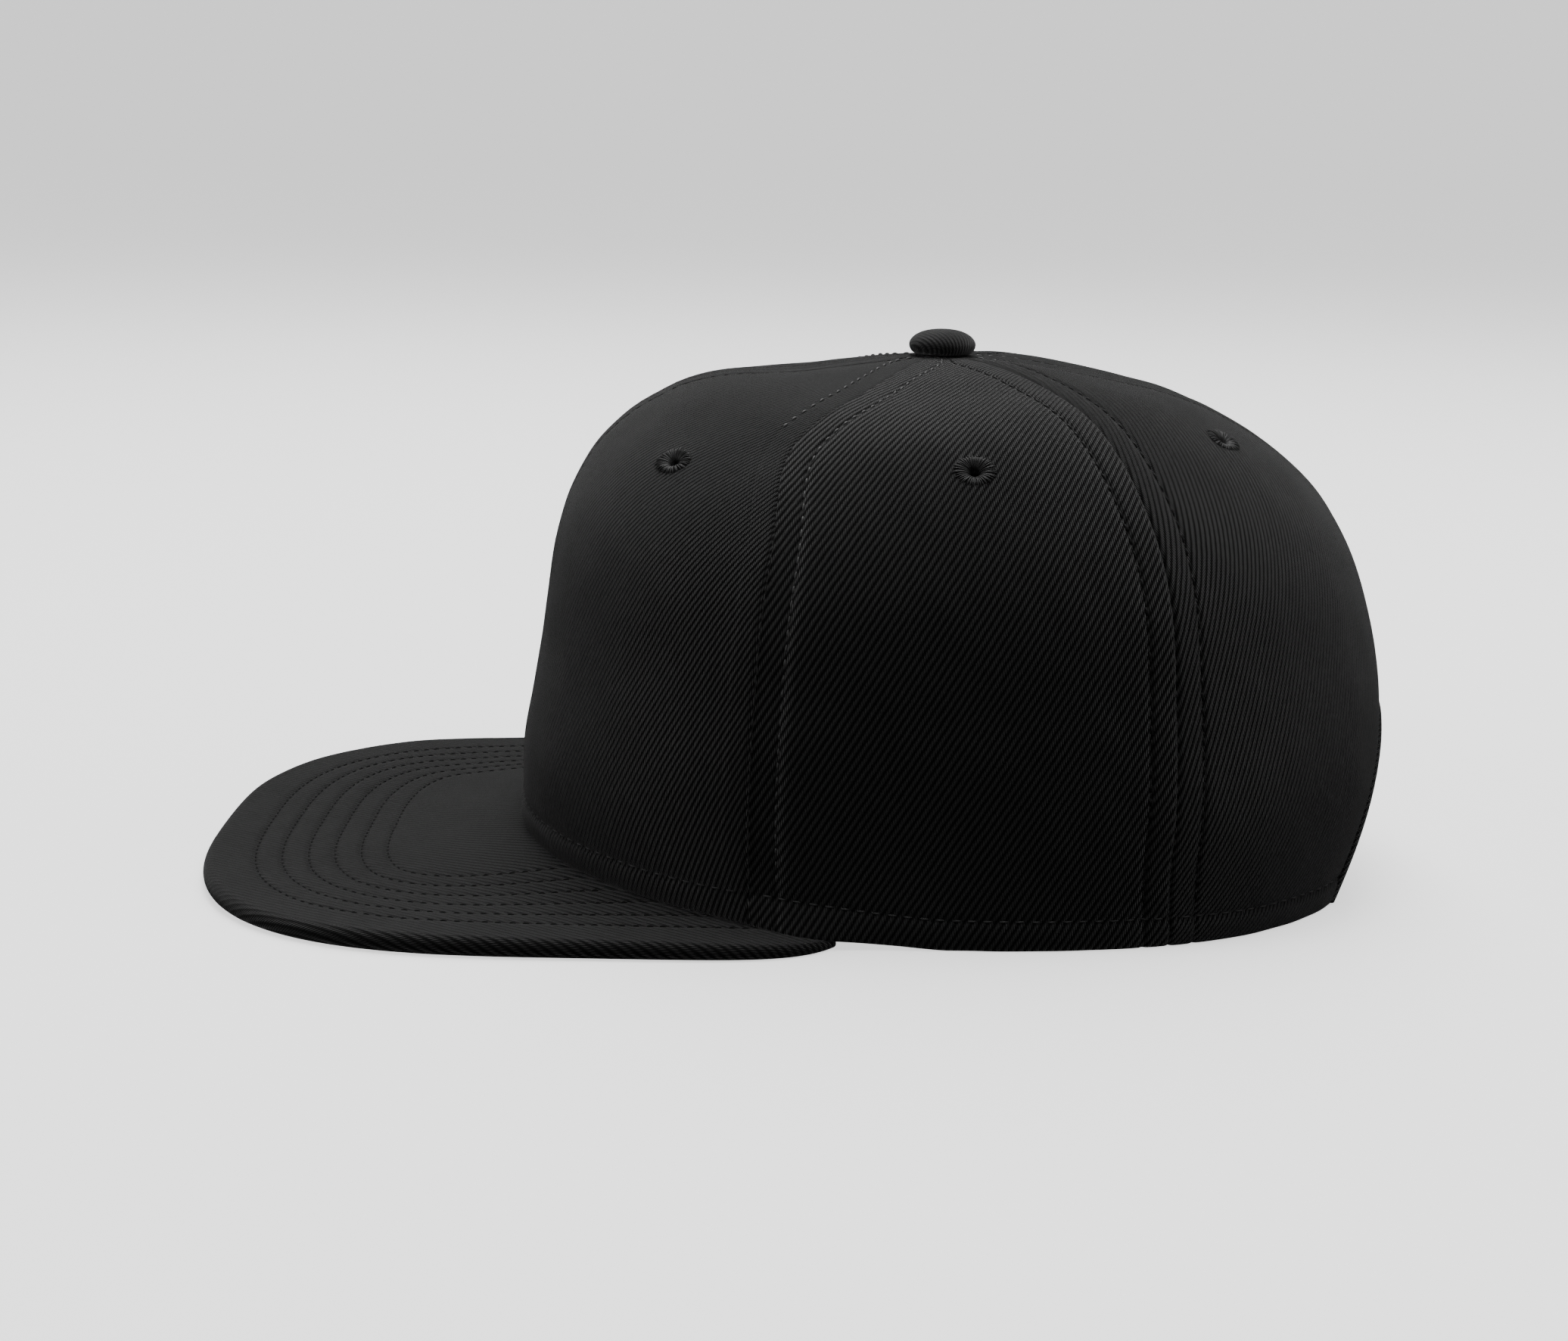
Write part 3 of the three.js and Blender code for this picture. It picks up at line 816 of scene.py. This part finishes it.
def arch_binding():
    """Folded cloth that binds the edge of the rear arch."""
    turn = np.linspace(0, math.pi, 150)
    power = 2 / ARCH["power"]
    across = ARCH["half_width"] * np.sign(np.cos(turn)) * np.abs(np.cos(turn)) ** power
    height = np.maximum(ARCH["height"] * np.sin(turn) ** power, 0.4)
    angle, rise = surface_under(across, height)
    edge = outer_point(angle, rise)
    normal = outward_normal(angle, rise)
    along = np.gradient(edge, axis=0)
    along /= np.linalg.norm(along, axis=1, keepdims=True)
    into_cloth = np.cross(normal, along)
    into_cloth /= np.linalg.norm(into_cloth, axis=1, keepdims=True)
    middle = np.array([0, edge[:, 1].mean(), 12.0])
    into_cloth = into_cloth * np.sign((into_cloth * (edge - middle)).sum(axis=1, keepdims=True))
    rings = [edge + into_cloth * reach + normal * height for reach, height in BINDING_OUTLINE]
    rings = np.stack(rings, axis=1)
    run = np.concatenate([[0], np.cumsum(np.linalg.norm(np.diff(edge, axis=0), axis=1))])
    sides = [math.dist(a, b) for a, b in zip(BINDING_OUTLINE, BINDING_OUTLINE[1:])]
    girth = np.cumsum([0] + sides)
    uv = np.stack(np.broadcast_arrays(run[:, None], girth[None, :]), axis=-1)
    item = tube_mesh("arch_binding", rings[:, ::-1], uv[:, ::-1])
    add_piece(item, CROWN_CLOTH, "crown_cloth")


arch_binding()


# Eyelets and button

EYELET_WIDE = 1.12
EYELET_HIGH = 0.94

# Radius and height of the padded ring's outline
EYELET_OUTLINE = [
    (0.9, -2.2), (0.9, -1.4), (1.05, -0.9), (1.6, -0.4), (2.4, -0.05), (3.2, 0.10), (4.0, 0.0),
    (4.3, -0.25), (4.1, -0.6), (2.9, -0.9), (2.2, -1.4), (2.2, -2.2),
]

# The sewn threads' heights at these distances from the hole's middle
THREAD_REACHES = [0.8, 1.2, 1.8, 2.6, 3.4, 4.1, 4.75]
THREAD_HEIGHTS = [-1.7, -0.8, -0.2, 0.12, 0.24, 0.12, -0.15]
EYELET_THREADS = 44
EYELET_THREAD_RADIUS = 0.17


def placed_on_crown(points, panel, angle, rise):
    """Sets an eyelet on the crown's cloth, a little wider than high."""
    up = outward_normal(np.array(angle), np.array(rise))
    side = np.cross([0, 0, 1], up)
    side /= np.linalg.norm(side)
    front = np.cross(up, side)
    foot = cloth_point(panel, np.array(angle), np.array(rise))[0]
    flat = EYELET_WIDE * points[..., :1] * side + EYELET_HIGH * points[..., 1:2] * front
    return foot + flat + points[..., 2:] * up


def turned(radius, height, angle):
    """Points at a radius and height, turned round an upright axis."""
    return np.stack(np.broadcast_arrays(radius * np.cos(angle), radius * np.sin(angle), height), axis=-1)


def eyelet_core(panel, angle, rise):
    """The padded ring under the threads, round a real hole."""
    around = np.linspace(0, 2 * math.pi, 64, endpoint=False)
    sections = np.stack([turned(radius, height, around) for radius, height in EYELET_OUTLINE], axis=1)
    return placed_on_crown(sections, panel, angle, rise)


def eyelet_threads(panel, angle, rise, seed):
    """Radial threads, sewn from the cloth round the ring into the hole."""
    random = np.random.default_rng(seed)
    count = EYELET_THREADS
    turn = np.linspace(0, 2 * math.pi, count, endpoint=False) + random.uniform(-0.03, 0.03, count)
    inside = random.uniform(0.7, 1.1, count)
    outside = random.uniform(4.1, 4.75, count)
    share = np.linspace(0, 1, 9)
    reach = inside[:, None] + (outside - inside)[:, None] * share
    height = np.interp(reach, THREAD_REACHES, THREAD_HEIGHTS)
    height = height + random.uniform(-0.10, 0.12, count)[:, None]
    skew = random.uniform(-0.05, 0.05, count)[:, None] * share
    centre = placed_on_crown(turned(reach, height, turn[:, None] + skew), panel, angle, rise)
    up = np.broadcast_to(outward_normal(np.array(angle), np.array(rise)), centre.shape)
    return threads(centre, up, EYELET_THREAD_RADIUS)


def make_eyelet(panel, across, rise):
    angle = eyelet_angle(panel, across, rise)
    core = eyelet_core(panel, angle, rise)
    sewn = eyelet_threads(panel, angle, rise, 7)
    for side, sections, row in (
        ("left", core[:, ::-1], sewn),
        ("right", core * [-1, 1, 1], mirrored(sewn)),
    ):
        item = tube_mesh(f"eyelet_core_{panel}_{side}", sections, closed=True)
        # The ring takes the darker thread, painted shade in the eyelet's hole
        add_piece(item, THREAD_IN_PAINTED_SHADE, "thread", f"eyelet_{panel}_{side}")
        join_rows(f"eyelet_threads_{panel}_{side}", [row], EYELET_THREAD, "thread")


for place in EYELETS:
    make_eyelet(*place)


# The button's cloth: how much closer its yarns look, which way they run, and how much it stands proud
BUTTON_COVER = dict(stretch=1.3, grain_turn=60, thickness=0.2, waist=0.36)

# Shares of the button's radius and height on its underside, from the middle out to the waist
BUTTON_UNDERSIDE = [
    (0.02, 0.05), (0.5, 0.02), (0.8, 0.0), (0.88, 0.04), (0.94, 0.12), (0.985, 0.24), (1.0, 0.36),
]


def covered_button():
    """A squat cloth-covered dome with a tucked-in underside."""
    turn = np.linspace(0, 2 * math.pi, 96, endpoint=False)
    radius = BUTTON["radius"] + BUTTON_COVER["thickness"]
    height = BUTTON["height"]
    waist = BUTTON_COVER["waist"]
    outline = list(BUTTON_UNDERSIDE)
    for share in np.linspace(0, 1, 15)[1:]:
        bend = share * math.pi / 2
        outline.append((math.cos(bend) ** 0.85 + 0.001, waist + (1 - waist) * math.sin(bend) ** 1.05))
    rings = []
    uv = []
    for part_radius, part_height in outline:
        uneven = 1 + 0.012 * np.sin(turn * 3 + 1) * (part_radius > 0.3)
        reach = radius * part_radius * uneven
        ring = turned(reach, height * part_height, turn)
        rings.append(ring + [0, 0, CROWN["height"] + GAP])
        spread = reach * (1 + 0.55 * (1 - part_height)) * BUTTON_COVER["stretch"]
        grain = turn - math.radians(BUTTON_COVER["grain_turn"])
        uv.append(np.stack([spread * np.sin(grain), -spread * np.cos(grain)], axis=-1))
    item = tube_mesh("covered_button", np.stack(rings), np.stack(uv))
    add_piece(item, BUTTON_CLOTH, "crown_cloth", "button")


covered_button()


# Peak

# Rows of stitches from the rim inward, and the groove that each pulls in
PEAK_ROWS = dict(first=12.5, pitch=6.35, count=6, groove=0.22, groove_width=0.8)
# How far the inner edge is tucked into the crown's wall, in general and at the peak's two ends
PEAK_TUCK = dict(inner=0.8, end=0.4)
# The share of the way to the rim over which the underside comes down, and how far the rim's edge turns
PEAK_LIFT_SHARE = 0.6
RIM_TURN = 82


def peak_rim(angle):
    """The rim in plan, by degrees round a place ahead of the crown's middle."""
    along = np.cos(np.radians(angle))
    across = np.sin(np.radians(angle))
    centre = -PEAK["ahead"] * CROWN["front"]
    front = CROWN["front"] + PEAK["projection"] + centre
    rear = PEAK["behind"] * CROWN["front"]
    half_width = CROWN["half_width"] + PEAK["overhang"]
    reach = np.where(along > 0, front, rear)
    power = np.where(along > 0, PEAK["front_power"], PEAK["rear_power"])
    length = (np.abs(along / reach) ** power + np.abs(across / half_width) ** power) ** (-1 / power)
    return np.stack([length * across, centre - length * along], axis=-1)


def crown_wall(angle, height, away):
    """The crown's outer face in plan at a height, moved this far outward."""
    wall = outer_point(angle, rise_at_height(angle, height))[..., :2]
    facing = outward_normal(angle, np.full(np.shape(angle), 1.0))[..., :2]
    facing = facing / np.linalg.norm(facing, axis=-1, keepdims=True)
    return wall + facing * np.asarray(away)[..., None]


def peak_end():
    """Where the rim meets the crown: degrees round the rim and round the crown."""
    for rim_angle in np.arange(90, 170, 0.25):
        rim = peak_rim(rim_angle)
        crown_angle = math.degrees(math.atan2(rim[0], -rim[1]))
        wall = crown_wall(np.array(crown_angle), PEAK["thickness"], -PEAK_TUCK["end"])
        if np.linalg.norm(rim) < np.linalg.norm(wall):
            break
    return rim_angle, crown_angle


def peak_frame(count):
    """Inner edge, rim, outward direction, thickness and lift of the peak, from right to left."""
    end_rim, end_crown = peak_end()
    share = np.linspace(-1, 1, count)
    crown_angle = end_crown * share
    thick = PEAK["thickness"] + (PEAK["end_thickness"] - PEAK["thickness"]) * np.abs(share) ** 8
    room = hem_height(crown_angle) - thick - GAP
    tuck = -PEAK_TUCK["inner"] + (PEAK_TUCK["inner"] - CLOTH) * smooth_step(room, -0.45, -0.1)
    start = crown_wall(crown_angle, np.maximum(hem_height(crown_angle), thick), tuck)
    rim = peak_rim(end_rim * share)
    along = peak_rim(end_rim * share + 0.5) - peak_rim(end_rim * share - 0.5)
    along /= np.linalg.norm(along, axis=1, keepdims=True)
    outward = np.stack([along[:, 1], -along[:, 0]], axis=1)
    return start, rim, outward, thick, np.maximum(0, room)


def rim_distance(places, rim):
    """Distance in plan from each place to the peak's rim line."""
    best = np.full(len(places), 1e9)
    for a, b in zip(rim[:-1], rim[1:]):
        ab = b - a
        t = np.clip(((places - a) @ ab) / (ab @ ab), 0, 1)
        best = np.minimum(best, np.linalg.norm(places - a - t[:, None] * ab, axis=1))
    return best


def underside(lift, share):
    """Height of the peak's underside, by the share of the way from the crown to the rim."""
    return lift * np.maximum(0, 1 - share / PEAK_LIFT_SHARE) ** 2


def row_grooves(distance):
    """The grooves that the stitch rows pull in, by distance from the peak's outermost edge."""
    out = np.zeros(distance.shape)
    for row in range(PEAK_ROWS["count"]):
        place = PEAK_ROWS["first"] + row * PEAK_ROWS["pitch"]
        out -= PEAK_ROWS["groove"] * bump_at(distance, place, PEAK_ROWS["groove_width"])
    return out


def peak_unevenness(places):
    flat = np.concatenate([places, np.zeros(places.shape[:-1] + (1,))], axis=-1)
    return 0.04 * soft_noise(flat, 16, 21) + 0.10 * soft_noise(flat, 45, 23)


def make_peak():
    """The peak's cloth cover: top, rounded rim and underside."""
    start, rim, outward, thick, lift = peak_frame(321)
    across = np.linspace(0, 1, 130)
    places = start[:, None] + (rim - start)[:, None] * across[None, :, None]
    low = underside(lift[:, None], across)
    distance = rim_distance(places.reshape(-1, 2), rim[::2]).reshape(places.shape[:2])
    groove = row_grooves(distance + thick[:, None] / 2)
    uneven = peak_unevenness(places)
    top = np.concatenate([places, (low + thick[:, None] + groove + uneven)[..., None]], axis=-1)
    bottom = np.concatenate([places, (low - 0.6 * groove)[..., None]], axis=-1)
    bends = np.radians(np.linspace(RIM_TURN, -RIM_TURN, 13))
    out = thick[:, None] / 2 * np.cos(bends)
    up = thick[:, None] / 2 * (1 + np.sin(bends)) + uneven[:, -1:] * np.linspace(1, 0, len(bends))
    edge = np.concatenate([rim[:, None] + outward[:, None] * out[..., None], up[..., None]], axis=-1)
    rings = np.concatenate([top, edge, bottom[:, ::-1]], axis=1)
    arc = thick[:, None] / 2 * (math.radians(RIM_TURN) - bends)
    edge_uv = rim[:, None] + outward[:, None] * arc[..., None]
    bottom_uv = edge_uv[:, -1:] + rim[:, None] - places[:, ::-1]
    uv = np.concatenate([places, edge_uv, bottom_uv], axis=1)
    item = tube_mesh("peak_cover", rings, uv)
    add_piece(item, PEAK_CLOTH, "peak_cloth", "peak")


def clear_of_crown(line):
    """How far each place of a line is outside the crown's wall."""
    angle = np.degrees(np.arctan2(line[:, 0], -line[:, 1]))
    wall = crown_wall(angle, np.maximum(hem_height(angle), PEAK["thickness"]), np.zeros(len(line)))
    return np.linalg.norm(line, axis=1) - np.linalg.norm(wall, axis=1)


def peak_levels(line, start, rim, thick, lift):
    """Heights of the peak's underside and top at places in plan."""
    ray = rim - start
    share = ((line[:, None] - start) * ray).sum(axis=-1) / (ray**2).sum(axis=-1)
    share = np.clip(share, 0, 1)
    gap = np.linalg.norm(line[:, None] - start - share[..., None] * ray, axis=-1)
    nearest = np.argmin(gap, axis=1)
    share = share[np.arange(len(line)), nearest]
    low = underside(lift[nearest], share)
    return low, low + thick[nearest]


def peak_stitches():
    """Rows of stitches that follow the rim at even distances, on both faces."""
    start, rim, outward, thick, lift = peak_frame(721)
    rows = []
    for number in range(PEAK_ROWS["count"]):
        inset = PEAK_ROWS["first"] + number * PEAK_ROWS["pitch"]
        from_rim = (inset - thick / 2)[:, None]
        line = rim - outward * from_rim
        line = line[rim_distance(line, rim) > from_rim.min() - 0.15]
        line = line[clear_of_crown(line) > 1.2]
        low, high = peak_levels(line, start, rim, thick, lift)
        top = high - PEAK_ROWS["groove"] + peak_unevenness(line)
        up = np.tile([0.0, 0.0, 1.0], (len(line), 1))
        rows.append(stitch_row(np.column_stack([line, top]), up, **PEAK_STITCH))
        rows.append(stitch_row(np.column_stack([line, low + 0.45]), -up, **UNDER_PEAK_STITCH))
    # The darker thread here is painted shade of the holes the stitches sink into
    join_rows("peak_stitches", rows, THREAD_IN_PAINTED_SHADE, "thread")


make_peak()
peak_stitches()


# Sweatband and strap

def strap_half_angle():
    half_width = ARCH["half_width"] + STRAP["overlap"]
    return math.degrees(math.asin(half_width / float(base_reach(180.0))))


def band_grids(angles, low, height, depth, thickness, rows):
    """Outer and inner grid of a band that follows the inside of the crown."""
    shares = np.linspace(0, 1, rows)
    angle = np.broadcast_to(angles[None, :], (rows, len(angles)))
    rise = rise_at_height(angle, low[None, :] + shares[:, None] * height)
    plain = outer_point(angle, rise)
    normal = outward_normal(angle, rise)
    round_off = 0.35 * thickness * (np.abs(2 * shares - 1) ** 14)[:, None]
    outer = plain - normal * (depth[None, :] + round_off)[..., None]
    inner = plain - normal * (depth[None, :] + thickness - round_off)[..., None]
    run = np.concatenate([[0], np.cumsum(np.linalg.norm(np.diff(plain[0], axis=0), axis=1))])
    uv = np.stack(np.broadcast_arrays(run[None, :], (shares * height)[:, None]), axis=-1)
    return outer, inner, uv


def make_sweatband():
    """The inner band, with its row of stitches near the top."""
    end = 180 - strap_half_angle() - 1
    angles = np.linspace(-end, end, 361)
    low = hem_height(angles) + SWEATBAND["hem_gap"]
    depth = np.full(len(angles), CLOTH + 2 * GAP)
    outer, inner, uv = band_grids(angles, low, SWEATBAND["height"], depth, SWEATBAND["thickness"], 28)
    item = sheet_mesh("sweatband_ribbon", outer, inner, uv, uv * [-1, 1])
    add_piece(item, RIBBON, "sweatband_cloth", "sweatband")
    line = inner[-3]
    centre = np.array([0.0, 0.0, 20.0])
    normals = centre - line
    normals /= np.linalg.norm(normals, axis=1, keepdims=True)
    join_rows("sweatband_stitches", [stitch_row(line, normals, **SWEATBAND_STITCH)], THREAD, "thread")


def make_strap():
    """The plain strap across the rear opening."""
    half = strap_half_angle()
    angles = np.linspace(180 - half, 180 + half, 121)
    depth = CLOTH + 2 * GAP + STRAP["sag"] * np.cos(np.radians(90 * (angles - 180) / half)) ** 2
    low = np.full(len(angles), STRAP["lift"])
    outer, inner, uv = band_grids(angles, low, STRAP["height"], depth, STRAP["thickness"], 24)
    item = sheet_mesh("plastic_strap", outer, inner, uv, uv * [-1, 1])
    add_piece(item, PLASTIC, "strap_plastic", "snap_strap")


make_sweatband()
make_strap()


# Stage, light and camera

# How much the floor glows, and how the glow falls inside the crown, a painted shadow under the cap:
# distances in metres, share left
FLOOR_GLOW = 1.1
SHADE = dict(reach=0.058, spread=0.024, left=0.12)
# Radius and height of the sweep's rings, in metres
FLOOR_OUTLINE = [(6.0, 0.0), (7.0, 0.15), (7.6, 0.6), (7.9, 1.4), (8.0, 4.0)]


def pale_floor():
    """A floor that glows softly, so that it stays pale, with less glow inside the crown as a painted
    shadow.
    """
    n = Nodes("pale_floor")
    n.shader.inputs["Base Color"].default_value = (0.9, 0.9, 0.9, 1)
    n.surface(0.9, specular=0.1)
    across, along = n.split(n.object_place())
    along = n.math("SUBTRACT", along, CROWN_Y / 1000)
    along = n.math("MULTIPLY", along, CROWN["half_width"] / CROWN["rear"])
    squares = n.math("ADD", n.math("MULTIPLY", across, across), n.math("MULTIPLY", along, along))
    past = n.math("SUBTRACT", n.math("SQRT", squares), SHADE["reach"])
    share = n.math("MAXIMUM", n.math("DIVIDE", past, SHADE["spread"]), SHADE["left"])
    glow = n.math("MULTIPLY", n.math("MINIMUM", share, 1.0), FLOOR_GLOW)
    n.shader.inputs["Emission Color"].default_value = (1, 1, 1, 1)
    n.link(glow, n.shader.inputs["Emission Strength"])
    return n.material


def make_floor():
    """A pale sweep: a floor that curves up into a wall on all sides."""
    steps = 72
    turn = np.linspace(0, 2 * math.pi, steps, endpoint=False)
    rings = [turned(radius, height, turn) for radius, height in FLOOR_OUTLINE]
    points = 1000 * np.concatenate([np.zeros((1, 3)), *rings]) - [0, CROWN_Y, 0]
    faces = [[0, 1 + i, 1 + (i + 1) % steps] for i in range(steps)]
    faces += grid_faces(len(rings), steps, start=1, flip=True, wrap=True).tolist()
    item = make_object("floor_sweep", points, faces)
    item.data.materials.append(pale_floor())
    item.visible_diffuse = False
    item.visible_glossy = False


# Place and size in metres, power in watts; each light faces the cap's middle
LIGHT_TARGET = (0, 0, 0.05)
LIGHTS = [
    ("overhead_soft", (0.0, 0.0, 1.6), (1.0, 1.0), 19),
    ("far_soft", (-0.9, 0.0, 1.3), (1.0, 1.0), 15),
    ("rear_soft", (0.1, 1.1, 1.2), (1.0, 1.0), 8.5),
    ("front_soft", (0.3, -1.6, 0.4), (1.0, 0.6), 8),
    ("camera_soft", (1.6, 0.0, 0.5), (1.2, 0.6), 4.5),
]


def add_light(name, place, size, power):
    data = bpy.data.lights.new(name, "AREA")
    data.shape = "RECTANGLE"
    data.size, data.size_y = size
    data.energy = power
    item = bpy.data.objects.new(name, data)
    bpy.context.collection.objects.link(item)
    item.location = place
    away = Vector(place) - Vector(LIGHT_TARGET)
    item.rotation_euler = away.to_track_quat("Z", "Y").to_euler()


def make_world():
    world = bpy.data.worlds.new("studio")
    world.use_nodes = True
    background = world.node_tree.nodes["Background"]
    background.inputs["Color"].default_value = (1, 1, 1, 1)
    background.inputs["Strength"].default_value = 0.04
    bpy.context.scene.world = world


def make_camera():
    """The photo's camera: nearly square to the wearer's left, a little above the cap."""
    data = bpy.data.cameras.new("photo_camera")
    data.lens = 62.2
    data.sensor_width = 36.0
    data.clip_start = 0.01
    item = bpy.data.objects.new("photo_camera", data)
    right = (0.00384, 0.99979, 0.02018)
    up = (-0.21120, -0.01892, 0.97726)
    back = (0.97744, -0.00802, 0.21108)
    place = (0.66837, -0.00855, 0.19022)
    item.matrix_world = Matrix([
        [right[0], up[0], back[0], place[0]],
        [right[1], up[1], back[1], place[1]],
        [right[2], up[2], back[2], place[2]],
        [0, 0, 0, 1],
    ])
    bpy.context.collection.objects.link(item)
    bpy.context.scene.camera = item


make_floor()
make_world()
for light in LIGHTS:
    add_light(*light)
make_camera()
